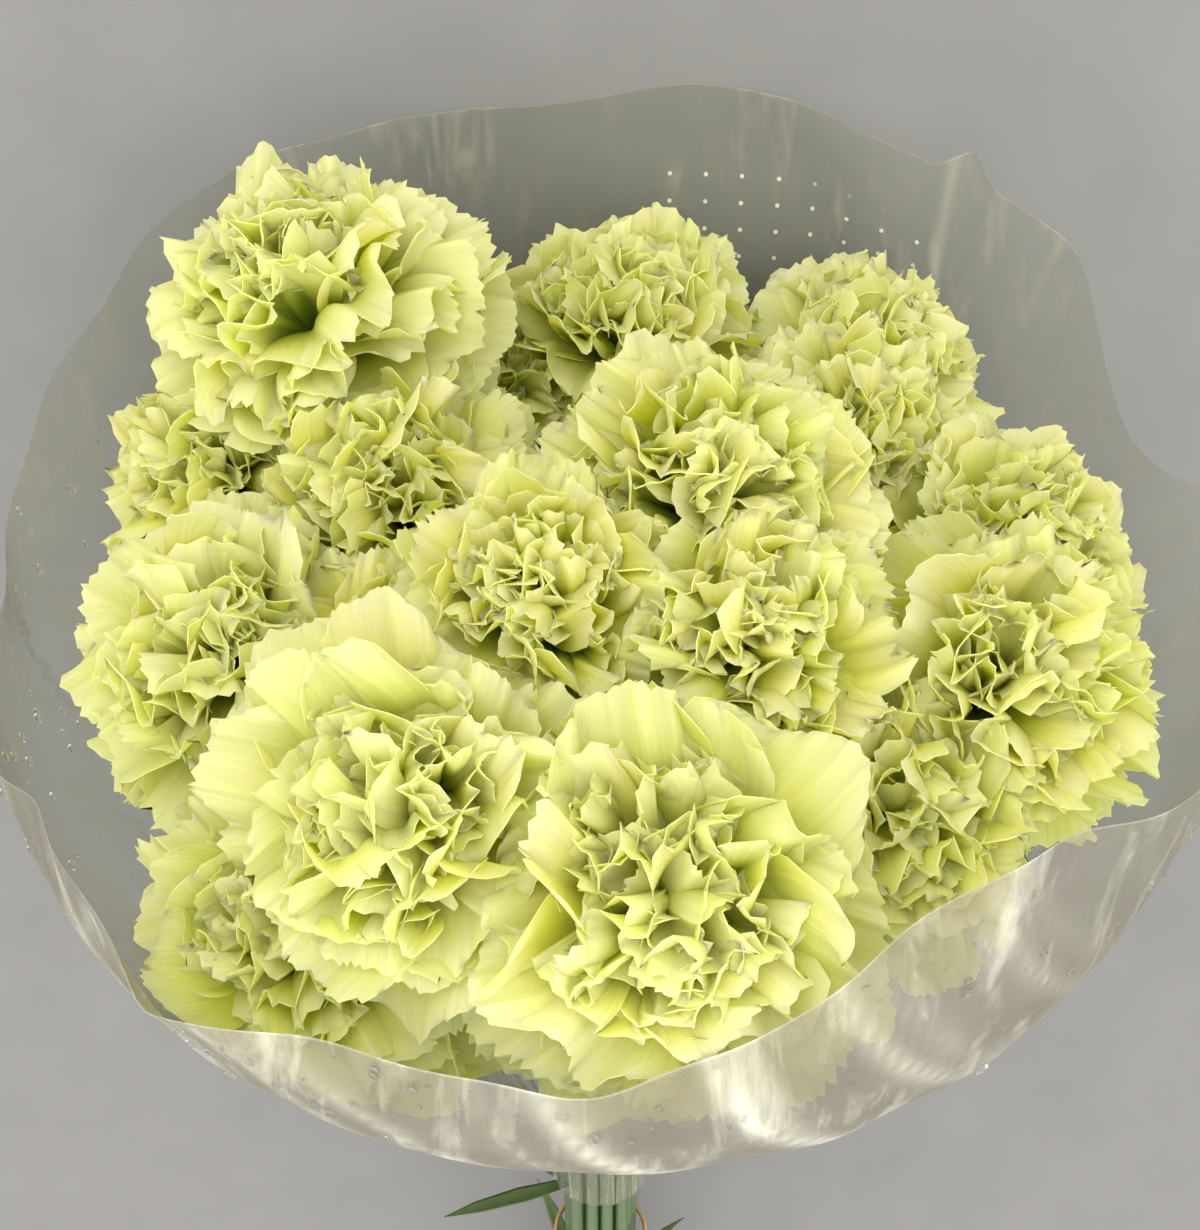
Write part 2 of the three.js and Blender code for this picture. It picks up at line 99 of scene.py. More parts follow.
# The sleeve's radius up the bunch, and its rim: bearing, radius, place up the bunch.
SLEEVE_PROFILE = np.array(
    [(-26, 17.6), (8, 18.6), (60, 36), (112, 74), (160, 116), (192, 143), (212, 150)], float
)
SLEEVE_RIM = np.array(
    [
        (-180, 151, 240), (-157, 150, 232), (-135, 150, 256), (-125, 157, 232), (-105, 143, 228),
        (-88, 141, 217), (-72, 141, 238), (-61, 144, 278), (-48, 150, 262), (-25, 161, 252),
        (0, 163, 246), (10, 156, 253), (16, 151, 242), (22, 150, 239), (25, 153, 262),
        (28, 156, 286), (34, 156, 284), (40, 157, 283), (44, 158, 288), (48, 163, 298),
        (52, 158, 290), (61, 155, 296),
        (77, 150, 308), (97, 150, 298), (121, 150, 299), (143, 154, 290), (161, 152, 266),
        (180, 151, 240),
    ],
    float,
)
FILM_WALL = 0.9
BAND_AT = -72
BAND_WIDTH = 4
BAND_FOOT = BAND_AT - BAND_WIDTH


def height_over_table(points):
    x, y, z = np.asarray(points, float).T
    return NECK_HEIGHT + z * TILT_SIN - y * TILT_COS


def lay(points):
    """Points of the bunch's frame, in millimetres, laid on the table, in metres."""
    x, y, z = np.asarray(points, float).T
    along = -y * TILT_SIN - z * TILT_COS + FLOWERS_AT * TILT_COS
    return np.column_stack([-x, along, height_over_table(points)]) / 1000


def unit(v):
    return v / np.linalg.norm(v, axis=-1, keepdims=True)


def smoothstep(low, high, x):
    t = np.clip((x - low) / (high - low), 0, 1)
    return t * t * (3 - 2 * t)


def turned_to(direction):
    """The rotation that takes z to a direction."""
    return np.array(Vector((0, 0, 1)).rotation_difference(Vector(direction)).to_matrix())


def arch(ends, t):
    """Places and directions at t on a curve from the first end to the last, pulled to the middle one."""
    t = t[:, None]
    way = (1 - t) ** 2 * ends[0] + 2 * t * (1 - t) * ends[1] + t**2 * ends[2]
    return way, unit(2 * (1 - t) * (ends[1] - ends[0]) + 2 * t * (ends[2] - ends[1]))


# ---- material nodes ----
def new_material(name):
    material = bpy.data.materials.new(name)
    material.use_nodes = True
    material.node_tree.nodes.clear()
    return material, material.node_tree


def add(tree, kind, inputs=None, **settings):
    node = tree.nodes.new(kind)
    for key, value in settings.items():
        setattr(node, key, value)
    for key, value in (inputs or {}).items():
        if isinstance(value, bpy.types.NodeSocket):
            tree.links.new(value, node.inputs[key])
        else:
            node.inputs[key].default_value = value
    return node


def ramp(tree, factor, stops):
    node = add(tree, "ShaderNodeValToRGB", {"Fac": factor})
    elements = node.color_ramp.elements
    while len(elements) < len(stops):
        elements.new(0.5)
    for element, (place, colour) in zip(elements, stops):
        element.position = place
        element.color = (*colour, 1)
    return node.outputs["Color"]


def blend(tree, factor, a, b, mode="MIX"):
    node = add(tree, "ShaderNodeMix", data_type="RGBA", blend_type=mode)
    for index, value in ((0, factor), (6, a), (7, b)):
        if isinstance(value, bpy.types.NodeSocket):
            tree.links.new(value, node.inputs[index])
        else:
            node.inputs[index].default_value = value if index == 0 else (*value, 1)
    return node.outputs[2]


def calc(tree, operation, a, b=0.0, clamp=False):
    return add(tree, "ShaderNodeMath", {0: a, 1: b}, operation=operation, use_clamp=clamp).outputs[0]


def times(tree, a, b, clamp=False):
    return calc(tree, "MULTIPLY", a, b, clamp)


def total(tree, parts):
    """The sum of some parts, held between 0 and 1."""
    so_far = parts[0]
    for part in parts[1:]:
        so_far = calc(tree, "ADD", so_far, part, clamp=True)
    return so_far


def own(tree, name):
    """The value that each vertex has of its own."""
    return add(tree, "ShaderNodeAttribute", attribute_name=name).outputs["Fac"]


def object_place(tree):
    return add(tree, "ShaderNodeTexCoord").outputs["Object"]


def combined(tree, x, y, z=0.0):
    return add(tree, "ShaderNodeCombineXYZ", {"X": x, "Y": y, "Z": z}).outputs[0]


def noise(tree, place, scale, detail=2.0, roughness=0.5, distortion=0.0):
    inputs = {"Vector": place, "Scale": scale, "Detail": detail}
    inputs |= {"Roughness": roughness, "Distortion": distortion}
    return add(tree, "ShaderNodeTexNoise", inputs).outputs["Fac"]


def bumped(tree, height, strength, depth):
    """The surface's direction, with the bumps of a height, depth metres deep at full strength."""
    inputs = {"Height": height, "Strength": strength, "Distance": depth}
    return add(tree, "ShaderNodeBump", inputs).outputs[0]


def principled(tree, colour, roughness, inputs):
    return add(tree, "ShaderNodeBsdfPrincipled", {"Base Color": colour, "Roughness": roughness, **inputs})


def mix_shaders(tree, share, a, b):
    return add(tree, "ShaderNodeMixShader", {0: share, 1: a.outputs[0], 2: b.outputs[0]})


def show(tree, shader):
    """Makes a shader the surface of its material."""
    add(tree, "ShaderNodeOutputMaterial", {"Surface": shader.outputs[0]})


# ---- materials ----
# The petals' colours from the claw to the edge, in a green bloom and in a cream one.
GREEN_PETAL = [
    (0.3, (0.47, 0.65, 0.002)),
    (0.58, (0.765, 0.8, 0.03)),
    (0.74, (0.89, 0.865, 0.2)),
    (0.88, (0.945, 0.905, 0.61)),
    (0.98, (0.98, 0.945, 0.88)),
]
CREAM_PETAL = [
    (0.25, (0.57, 0.72, 0.008)),
    (0.52, (0.84, 0.855, 0.12)),
    (0.7, (0.93, 0.9, 0.45)),
    (0.86, (0.955, 0.92, 0.76)),
    (0.98, (0.98, 0.95, 0.92)),
]
PETAL_VEINS = [(0.3, (0.88, 0.93, 0.72)), (0.62, (1, 1, 1))]
PETAL_MOTTLE = (0.92, 0.93, 0.55)
GREENER_PETAL = (0.78, 0.88, 0.2)
LIGHT_THROUGH_PETAL = (0.94, 1.0, 0.13)
PETAL_TRANSLUCENCE = 0.7

# Painted shade: the stem greens are much darker than a stem's own green, as if it lay in shadow.
STEM_GREEN_WITH_PAINTED_SHADE = [(0.3, (0.015, 0.036, 0.011)), (0.55, (0.027, 0.062, 0.021)), (0.75, (0.06, 0.105, 0.048))]
FRESH_GREEN = [(0.3, (0.17, 0.29, 0.05)), (0.7, (0.31, 0.42, 0.13))]
FIBRE_GREEN = (0.24, 0.32, 0.18)

# Painted highlights: pale marks on the film's streaks, crease ridges, seams, rim and holes.
FILM_HIGHLIGHT_STREAKS = [(0.52, (0, 0, 0)), (0.74, (1, 1, 1))]
# Painted shade: the dark grey of the film's gloss layer, strongest in a band at its front.
FILM_PAINTED_SHADE = (0.22, 0.2, 0.165)
FILM_PAINTED_HIGHLIGHT = (0.72, 0.73, 0.6)
FILM_CLEAR = (0.97, 0.98, 0.955, 1)
HOLE_COLUMNS = 11.0
HOLE_ROWS = 8.0
HOLE_RADIUS_SQUARED = 0.42

RUBBER_TAN = [(0.3, (0.42, 0.24, 0.09)), (0.7, (0.62, 0.4, 0.18))]
FLOOR_GREY = [(0.3, (0.16, 0.162, 0.164)), (0.7, (0.173, 0.175, 0.177))]


def petal_material():
    """Petals: greener at the claw, paler at the edge, finely veined, with light coming through them."""
    material, tree = new_material("petals")
    along, across, tone, cream_and_painted_light = (own(tree, name) for name in ("along", "across", "tone", "cream_and_painted_light"))
    vein_at = combined(tree, times(tree, across, 16), times(tree, along, 1.3), times(tree, tone, 40))
    veins = noise(tree, vein_at, 2.6, detail=4, roughness=0.6)
    mottle = noise(tree, object_place(tree), 90, detail=3)
    reach = calc(tree, "ADD", along, times(tree, calc(tree, "SUBTRACT", veins, 0.5), 0.2))
    # Creamier blooms take more of the creamy ramp; part of that is painted light.
    colour = blend(tree, cream_and_painted_light, ramp(tree, reach, GREEN_PETAL), ramp(tree, reach, CREAM_PETAL))
    colour = blend(tree, times(tree, mottle, 0.12), colour, PETAL_MOTTLE)
    colour = blend(tree, times(tree, tone, 0.2), colour, GREENER_PETAL)
    colour = blend(tree, 0.5, colour, ramp(tree, veins, PETAL_VEINS), "MULTIPLY")
    bump = bumped(tree, veins, 0.3, 0.0006)
    inputs = {"Specular IOR Level": 0.18, "Sheen Weight": 0.05, "Normal": bump}
    face = principled(tree, colour, 0.55, inputs)
    through_colour = blend(tree, 0.6, colour, LIGHT_THROUGH_PETAL, "MULTIPLY")
    through = add(tree, "ShaderNodeBsdfTranslucent", {"Color": through_colour, "Normal": bump})
    show(tree, mix_shaders(tree, PETAL_TRANSLUCENCE, face, through))
    return material


def greenery_material():
    """Stems and leaves: a patchy green darkened with painted shade, with fine fibres, fresher in colour and
    with little painted shade at the calyx.
    """
    material, tree = new_material("greenery")
    place = object_place(tree)
    patches = noise(tree, place, 45, detail=5, roughness=0.6)
    fibre_at = add(tree, "ShaderNodeMapping", {"Vector": place, "Scale": (1, 0.06, 1)}).outputs[0]
    fibre = noise(tree, fibre_at, 900, detail=3)
    # The stem ramp is painted shade over green; the calyx ramp is the calyx's own fresher green.
    stem, calyx = ramp(tree, patches, STEM_GREEN_WITH_PAINTED_SHADE), ramp(tree, patches, FRESH_GREEN)
    colour = blend(tree, own(tree, "fresh"), stem, calyx)
    colour = blend(tree, times(tree, fibre, 0.14), colour, FIBRE_GREEN)
    show(tree, principled(tree, colour, 0.45, {"Normal": bumped(tree, fibre, 0.25, 0.0004)}))
    return material


def perforations(tree):
    """1 on the tiny holes, which stand in columns up the film and in rows round it."""
    square = []
    for name, pitch in (("round", HOLE_COLUMNS), ("up", HOLE_ROWS)):
        place = calc(tree, "FRACT", calc(tree, "DIVIDE", own(tree, name), pitch))
        offset = times(tree, calc(tree, "SUBTRACT", place, 0.5), pitch)
        square.append(times(tree, offset, offset))
    near = calc(tree, "LESS_THAN", calc(tree, "ADD", *square), HOLE_RADIUS_SQUARED)
    return times(tree, near, own(tree, "holed"))


def film_material():
    """Clear film: hazier where it's seen edge-on, with painted highlights on its streaks, creases, rim and
    holes, and painted shade over a band at its front.
    """
    material, tree = new_material("clear_film")
    haze = noise(tree, object_place(tree), 14, detail=4, roughness=0.55)
    streak_at = combined(tree, times(tree, own(tree, "round"), 0.032), times(tree, own(tree, "up"), 0.009))
    streaks = noise(tree, streak_at, 3, detail=5, roughness=0.65, distortion=0.4)
    bump = bumped(tree, noise(tree, streak_at, 1.6, detail=1), 0.3, 0.006)
    edge_on = add(tree, "ShaderNodeLayerWeight", {"Blend": 0.3, "Normal": bump}).outputs["Facing"]
    # A painted highlight along the rim's edge, on the crease ridges and seams, in the streaks and on the
    # holes.
    rim = calc(tree, "SUBTRACT", 1, times(tree, own(tree, "below_rim"), 1.5), clamp=True)
    painted_highlights = total(tree, [
        times(tree, own(tree, "crease_highlight"), 0.42),
        times(tree, ramp(tree, streaks, FILM_HIGHLIGHT_STREAKS), 0.2),
        times(tree, rim, 0.13),
        times(tree, perforations(tree), 0.6),
    ])
    seen = total(tree, [
        times(tree, haze, 0.1),
        # Painted shade over a band at the film's front.
        times(tree, own(tree, "front_shade_veil"), 0.3),
        times(tree, calc(tree, "POWER", edge_on, 2.0), 0.55),
        painted_highlights,
    ])
    # The painted highlights turn the gloss layer's painted shade colour pale.
    colour = blend(tree, times(tree, painted_highlights, 3, clamp=True), FILM_PAINTED_SHADE, FILM_PAINTED_HIGHLIGHT)
    gloss = principled(tree, colour, 0.34, {"IOR": 1.5, "Specular IOR Level": 0.6, "Normal": bump})
    clear = add(tree, "ShaderNodeBsdfTransparent", {"Color": FILM_CLEAR})
    show(tree, mix_shaders(tree, seen, clear, gloss))
    return material


def water_material():
    material, tree = new_material("water_drops")
    bump = bumped(tree, noise(tree, object_place(tree), 300), 0.05, 0.0003)
    inputs = {"Transmission Weight": 1.0, "IOR": 1.33, "Normal": bump}
    show(tree, principled(tree, (1, 1, 1, 1), 0.03, inputs))
    return material


def rubber_material():
    material, tree = new_material("rubber_band")
    speck = noise(tree, object_place(tree), 700, detail=4)
    bump = bumped(tree, speck, 0.2, 0.0003)
    show(tree, principled(tree, ramp(tree, speck, RUBBER_TAN), 0.62, {"Normal": bump}))
    return material


def floor_material():
    material, tree = new_material("floor")
    grain = noise(tree, object_place(tree), 30, detail=5)
    show(tree, principled(tree, ramp(tree, grain, FLOOR_GREY), 0.75, {}))
    return material


# ---- pieces ----
MERGE_WITHIN = 2e-6


def grid(bm, across, lengthways):
    """A new grid in bm, and where its vertices lie on it, from 0 to 1 across and along."""
    made = bmesh.ops.create_grid(bm, x_segments=across, y_segments=lengthways, size=0.5)
    where = np.array([(v.co.x + 0.5, v.co.y + 0.5) for v in made["verts"]])
    return np.clip(where[:, 0], 0, 1), np.clip(where[:, 1], 0, 1)


def finish_piece(
    name, bm, points, material, replaced=(), attributes=None, wall=0.0, closed=False
):
    """Puts a bmesh's vertices at points of the bunch's frame, and makes a finished piece of it."""
    for key, values in (attributes or {}).items():
        layer = bm.verts.layers.float.new(key)
        for vert, value in zip(bm.verts, values):
            vert[layer] = value
    for vert, place in zip(bm.verts, lay(points)):
        vert.co = place
    if closed:
        bmesh.ops.remove_doubles(bm, verts=bm.verts, dist=MERGE_WITHIN)
        bmesh.ops.recalc_face_normals(bm, faces=bm.faces)
    for face in bm.faces:
        face.smooth = True
    for edge in bm.edges:
        edge.smooth = not edge.is_boundary
    mesh = bpy.data.meshes.new(name)
    bm.to_mesh(mesh)
    bm.free()
    mesh.materials.append(material)
    piece = bpy.data.objects.new(name, mesh)
    bpy.context.scene.collection.objects.link(piece)
    if wall:
        solid = piece.modifiers.new("wall", "SOLIDIFY")
        solid.thickness = wall / 1000
        solid.offset = 0
    if replaced:
        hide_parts(*replaced)
    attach(piece, "root")


# ---- the flowers' places ----
class Flower:
    def __init__(self, number, at, size, cream_and_painted_light, broad):
        self.number = number
        self.middle = np.array(at, float)
        self.facing = unit(self.middle - FACING_FROM)
        self.size = size
        self.radius = size * BLOOM_SIZE / 2
        self.rise = size * BLOOM_RISE
        self.mouth = self.middle - FACE_HEIGHT * self.facing
        self.turn = turned_to(self.facing)
        self.cream_and_painted_light = cream_and_painted_light
        self.broad = broad

    def reach(self, opened):
        """How far the bloom's round outline is from its mouth, at an angle from where it faces."""
        return 1 / np.hypot(np.sin(opened) / self.radius, np.cos(opened) / self.rise)


FLOWERS = [Flower(i + 1, *row) for i, row in enumerate(BLOOMS)]


def sleeve_radius(bearing, z):
    """The sleeve's radius without its creases, at a bearing in degrees and a height."""
    widest_at, widest = SLEEVE_PROFILE[-1]
    below = np.interp(z, SLEEVE_PROFILE[:, 0], SLEEVE_PROFILE[:, 1])
    rim_radius = np.interp(bearing, SLEEVE_RIM[:, 0], SLEEVE_RIM[:, 1])
    rim_z = np.interp(bearing, SLEEVE_RIM[:, 0], SLEEVE_RIM[:, 2])
    share = np.clip((z - widest_at) / (rim_z - widest_at), 0, 1)
    return np.where(z <= widest_at, below, widest + share * (rim_radius - widest))


def room(points):
    """How far points are inside the sleeve's wall and over the table, whichever is less."""
    bearing = np.degrees(np.arctan2(points[:, 1], points[:, 0]))
    inside = sleeve_radius(bearing, points[:, 2]) - np.hypot(points[:, 0], points[:, 1])
    return np.minimum(inside, height_over_table(points)) - FILM_WALL


FILM_CLEARANCE = 1.4
PETALS_MINGLE = 6.5
MEETING_WAVE = 5.5
MEETING_WAVE_DEPTH = 1.3
PRESS_FREE = 0.8
HALVINGS = 12


def reach_to_neighbours(flower, direction):
    """How far a bloom's petals go in each direction until they're well in among its neighbours' petals."""
    limit = np.full(len(direction), 2 * flower.radius)
    for other in FLOWERS:
        if other is flower:
            continue
        apart = other.middle - flower.middle
        distance = np.linalg.norm(apart)
        slope = direction @ (apart / distance)
        share = flower.radius / (flower.radius + other.radius)
        meeting = flower.middle + direction * (distance * share / np.maximum(slope, 0.2))[:, None]
        side = 1 if flower.number < other.number else -1
        waves = np.sin(meeting / MEETING_WAVE + [1, 2, 3]).sum(axis=1) * side
        near = (distance * share + PETALS_MINGLE + MEETING_WAVE_DEPTH * waves) / np.maximum(slope, 1e-6)
        limit = np.minimum(limit, np.where(slope > 0, near, limit))
    return limit


def reach_to_film(flower, direction, limit):
    """A limit on each direction, brought in to where the film or the table comes first."""
    def too_far(reach):
        return room(flower.middle + direction * reach[:, None]) < FILM_CLEARANCE

    low, high = np.zeros(len(limit)), limit
    for _ in range(HALVINGS):
        mid = (low + high) / 2
        out = too_far(mid)
        high = np.where(out, mid, high)
        low = np.where(out, low, mid)
    return np.where(too_far(limit), low, limit)


def press(flower, points):
    """Presses a bloom's points in, softly, where its neighbours, the film or the table are in the way."""
    offset = points - flower.middle
    length = np.maximum(np.linalg.norm(offset, axis=1), 1e-9)
    direction = offset / length[:, None]
    limit = reach_to_film(flower, direction, reach_to_neighbours(flower, direction))
    used = length / limit
    spare = 1 - PRESS_FREE
    kept = np.where(used < PRESS_FREE, used, 1 - spare * np.exp((PRESS_FREE - used) / spare))
    return flower.middle + direction * (kept * limit)[:, None]


# ---- blooms ----
BLOOM_SEED = 100
OUTER_PETALS = 30
FINEST_PETALS = 14
HEART_PETALS = 30
WHORLS = 3
FINEST_COLUMNS = 40
PETAL_COLUMNS = 34
OUTER_ROWS = 11
HEART_ROWS = 10
GOLDEN_TURN = math.pi * (3 - math.sqrt(5))
PETAL_WALL = 0.22
OUTER_OPEN = math.radians(112)
INNER_OPEN = math.radians(38)
HEART_OPEN = math.radians(50)
HEART_TILT = math.radians(21)

HALF_WIDTH = 22
HEART_NARROWER = 8
TEETH_DEPTH = (0.9, 2.0)
DEEPER_CUTS = 9
DEEPER_CUT_DEPTH = 2.2
# How many half-waves a petal has across it, from its broad folds to the frills at its very edge.
FOLD_WAVES = (1.0, 2.2)
CRIMP_WAVES = (4, 7.5)
RUFFLE_WAVES = (6, 9)
FRILL_WAVES = (12, 17)
FOLD_DEPTH = (2.6, 5.2)
RUFFLE_DEPTH = (0.5, 1.3)
FRILL_DEPTH = (0.3, 0.8)


def petal_edge(u, rng, depth):
    """How far each vertex of a petal's edge is cut in: small irregular teeth, deeper here and there."""
    columns = np.unique(np.round(u, 5))
    column = np.searchsorted(columns, np.round(u, 5))
    teeth = (np.arange(len(columns)) % 2) * rng.uniform(0.2, 1.0, len(columns))
    places = np.linspace(0, 1, len(columns))
    deeper = np.interp(places, np.linspace(0, 1, DEEPER_CUTS), rng.uniform(0, 1, DEEPER_CUTS) ** 3)
    return (depth * teeth + DEEPER_CUT_DEPTH * deeper)[column]


def petal_folds(a, t, rng, size, share):
    """How far a petal's points stand off its arch, and how far its broad folds draw them aside."""
    waves = rng.uniform(*FOLD_WAVES) + 1.1 * share
    fold = rng.uniform(*FOLD_DEPTH) * size * (0.7 + 0.55 * share)
    phase = rng.uniform(0, 2 * math.pi)
    crimp = (0.15 + 0.2 * share) * fold
    lift = fold * t**2 * np.sin(math.pi * waves * a + phase)
    lift += crimp * t**4 * np.sin(math.pi * rng.uniform(*CRIMP_WAVES) * a + rng.uniform(0, 6.3))
    ruffle = rng.uniform(*RUFFLE_DEPTH)
    lift += ruffle * t**8 * np.sin(math.pi * rng.uniform(*RUFFLE_WAVES) * a + rng.uniform(0, 6.3))
    frill = rng.uniform(*FRILL_DEPTH)
    lift += frill * t**10 * np.sin(math.pi * rng.uniform(*FRILL_WAVES) * a)
    cupped = (1.5 + 8 * share) * size * rng.uniform(0.1, 1)
    lift += cupped * a**2 * t
    lift += rng.uniform(-2.5, 2.5) * a * t
    lift -= rng.uniform(-2.5, 4) * (1 - share) * t**6
    return lift, 0.22 * fold * t**3 * np.sin(2 * math.pi * waves * a + phase)


def petal_points(u, v, rng, size, reach, opened, bearing, share, broad):
    """A petal's points in its bloom's frame: it rises from the calyx and fans out to a toothed edge."""
    a = 2 * u - 1
    t = 1 - (1 - v) ** 1.3
    half = size * broad * (HALF_WIDTH - HEART_NARROWER * share) * rng.uniform(0.82, 1.18)
    rounding = (0.06 + 0.03 * share) * a**2 + 0.15 * a**6
    rounding += 0.05 * np.sin(rng.uniform(0, 6.3) + rng.uniform(2, 5) * a) * t
    cut = petal_edge(u, rng, rng.uniform(*TEETH_DEPTH)) * (v > 0.999) / reach

    tip_out, tip_up = reach * math.sin(opened), reach * math.cos(opened)
    claw = (2.5 * (1 - share) + 0.4, -3.0)
    turn = ((0.16 + 0.12 * share) * tip_out, 8 + 0.7 * max(tip_up, 0))
    way, slope = arch(np.array([claw, turn, (tip_out, tip_up)]), t * (1 - rounding) - cut)

    lift, drawn_aside = petal_folds(a, t, rng, size, share)
    width = half * (0.1 + 0.9 * smoothstep(0.08, 0.85, t) ** 1.1)
    across = a * width + drawn_aside
    twist = rng.normal(0, 0.16 + 0.4 * share) * smoothstep(0.2, 1, t)
    tw_cos, tw_sin = np.cos(twist), np.sin(twist)
    across, lift = across * tw_cos - lift * tw_sin, across * tw_sin + lift * tw_cos

    out, up = way[:, 0] - slope[:, 1] * lift, way[:, 1] + slope[:, 0] * lift
    c, s = math.cos(bearing), math.sin(bearing)
    return np.column_stack([out * c - across * s, out * s + across * c, up]), t, a


def outer_petals(flower, start, rng):
    """Each outer petal's columns, rows and turn, with its reach, opening, bearing, share and broadness."""
    for i in range(OUTER_PETALS):
        share = i / OUTER_PETALS
        opened = math.acos(math.cos(OUTER_OPEN) * (1 - share) + share * math.cos(INNER_OPEN))
        opened += math.radians(rng.uniform(-6, 6))
        bearing = start + i * GOLDEN_TURN + rng.uniform(-0.25, 0.25)
        broad = 1 + (flower.broad - 1) * (1 - share)
        reach = flower.reach(opened) * rng.uniform(0.98, 1.12) * (1 + 0.25 * (flower.broad - 1))
        columns = FINEST_COLUMNS if i < FINEST_PETALS else PETAL_COLUMNS
        yield columns, OUTER_ROWS, np.eye(3), (reach, opened, bearing, 0.5 * share, broad)


def heart_petals(flower, start, rng):
    """The same for the heart's petals, which stand in small whorls that lean apart."""
    whorls = []
    for k in range(WHORLS):
        aside = start + 2 * math.pi * (k + rng.uniform(-0.2, 0.2)) / WHORLS
        tilt = HEART_TILT * rng.uniform(0.7, 1.2)
        lean = math.sin(tilt)
        whorls.append(turned_to((lean * math.cos(aside), lean * math.sin(aside), math.cos(tilt))))
    for i in range(HEART_PETALS):
        turn = whorls[i % WHORLS]
        share = (i // WHORLS) / (HEART_PETALS // WHORLS - 1)
        opened = HEART_OPEN * (1 - 0.9 * share**0.8) + math.radians(rng.uniform(-5, 5))
        bearing = start + i * GOLDEN_TURN + rng.uniform(-0.3, 0.3)
        side = math.sin(opened)
        direction = turn @ (side * math.cos(bearing), side * math.sin(bearing), math.cos(opened))
        reach = flower.reach(math.acos(direction[2])) * rng.uniform(0.9, 1.05)
        yield PETAL_COLUMNS, HEART_ROWS, turn, (reach, opened, bearing, 0.55 + 0.45 * share, 1)


def make_bloom(flower, material):
    """A double bloom: broad outer petals round its mouth, and small whorls of crowded ones at its heart."""
    rng = np.random.default_rng(BLOOM_SEED + flower.number)
    bm = bmesh.new()
    points, along, across, tone = [], [], [], []
    start = rng.uniform(0, 2 * math.pi)
    for petals_of in (outer_petals, heart_petals):
        for columns, rows, turn, shape in petals_of(flower, start, rng):
            u, v = grid(bm, columns, rows)
            p, t, a = petal_points(u, v, rng, flower.size, *shape)
            points.append(p @ turn.T)
            along.append(t)
            across.append(a)
            tone.append(np.full(len(t), rng.uniform()))

    points = np.concatenate(points) @ flower.turn.T + flower.mouth
    attributes = {
        "along": np.concatenate(along),
        "across": np.concatenate(across),
        "tone": np.concatenate(tone),
        "cream_and_painted_light": np.full(len(points), flower.cream_and_painted_light),
    }
    number = f"{flower.number:02d}"
    finish_piece(
        f"carnation_{number}", bm, press(flower, points), material, [f"bloom_{number}"],
        attributes=attributes, wall=PETAL_WALL,
    )


# ---- stems ----
STARTS_AT = 0.14
PACKING_ROUNDS = 400
PULLING_ROUNDS = 300
PULL = 0.985
ROWS_BELOW_NECK = 45
ROWS_ABOVE_NECK = 40
SHAFT = 0.94
# The calyx's rows: how far each one is from the bloom's mouth, and its radius.
CALYX_ALONG = [-CALYX_LENGTH - 0.5, -CALYX_LENGTH, -25.5, -21, -15, -9, -5, -2, -0.4, -0.4, -3]
CALYX_RADII = [0, 2.6, 4.2, 5.3, 6.0, 6.35, 6.3, 6.1, 6.0, 5.2, 0]
CALYX_INSIDE = 9
SHAFT_SIDES = 12
CALYX_SIDES = 30
# How much of the calyx's fresh green each part takes over the stem green's painted shade: little on the
# shaft until near the calyx, most on the calyx, a quarter on the leaves.
SHAFT_FRESH_AT = [-150, 60, 200]
SHAFT_FRESH_AND_UNSHADED = [0.1, 0.14, 0.7]
CALYX_FRESH = 0.9
LEAF_FRESH_AND_UNSHADED = 0.25


def pack_stems():
    """Where each stem lies in the band: pulled in from its bloom's side until they touch."""
    places = np.array([f.middle[:2] for f in FLOWERS]) * STARTS_AT
    spacing = 2 * STEM_RADIUS + STEM_GAP
    for turn in range(PACKING_ROUNDS):
        if turn < PULLING_ROUNDS:
            places *= PULL
        for i in range(len(places)):
            for j in range(i + 1, len(places)):
                apart = places[j] - places[i]
                distance = math.hypot(*apart)
                if distance < spacing:
                    push = apart / distance * (spacing - distance) / 2
                    places[i] -= push
                    places[j] += push
    return places


IN_BAND = pack_stems()
BUNDLE_RADIUS = max(np.linalg.norm(IN_BAND, axis=1)) + STEM_RADIUS
END_DROP = (END_SPREAD * max(IN_BAND[:, 1]) + STEM_RADIUS) * TILT_COS + STEM_RADIUS * TILT_SIN
STEMS_END = -(NECK_HEIGHT - END_DROP) / TILT_SIN


def stem_below(place, z):
    """Where a stem is at a height under the neck: straight down to the band, then spreading a little."""
    spread = np.interp(z, [STEMS_END, BAND_FOOT], [END_SPREAD, 1])
    return np.array([spread * place[0], spread * place[1], z])


def lower_joint(flower):
    return JOINTS_AT + JOINT_STAGGER * (flower.number % 3 - 1)


def bezier(ends, t):
    a, b, c, d = (np.array(p)[None, :] for p in ends)
    t = t[:, None]
    return (1 - t) ** 3 * a + 3 * t * (1 - t) ** 2 * b + 3 * t**2 * (1 - t) * c + t**3 * d


def tube(bm, middles, radii, sides, shape=None):
    """A closed tube along middles. shape(angle, row) may move its skin, as (out, along)."""
    rows = len(middles)
    u, v = grid(bm, sides, rows - 1)
    row = np.round(v * (rows - 1)).astype(int)
    direction = unit(np.gradient(middles, axis=0) + 1e-9)
    side = unit(np.array([1.0, 0, 0]) - direction * direction[:, :1])
    up = np.cross(direction, side)
    angle = 2 * math.pi * u
    out, on = (0, 0) if shape is None else shape(angle, row)
    radius = (np.array(radii)[row] + out)[:, None]
    skin = side[row] * np.cos(angle)[:, None] + up[row] * np.sin(angle)[:, None]
    return middles[row] + radius * skin + direction[row] * np.broadcast_to(on, len(row))[:, None]


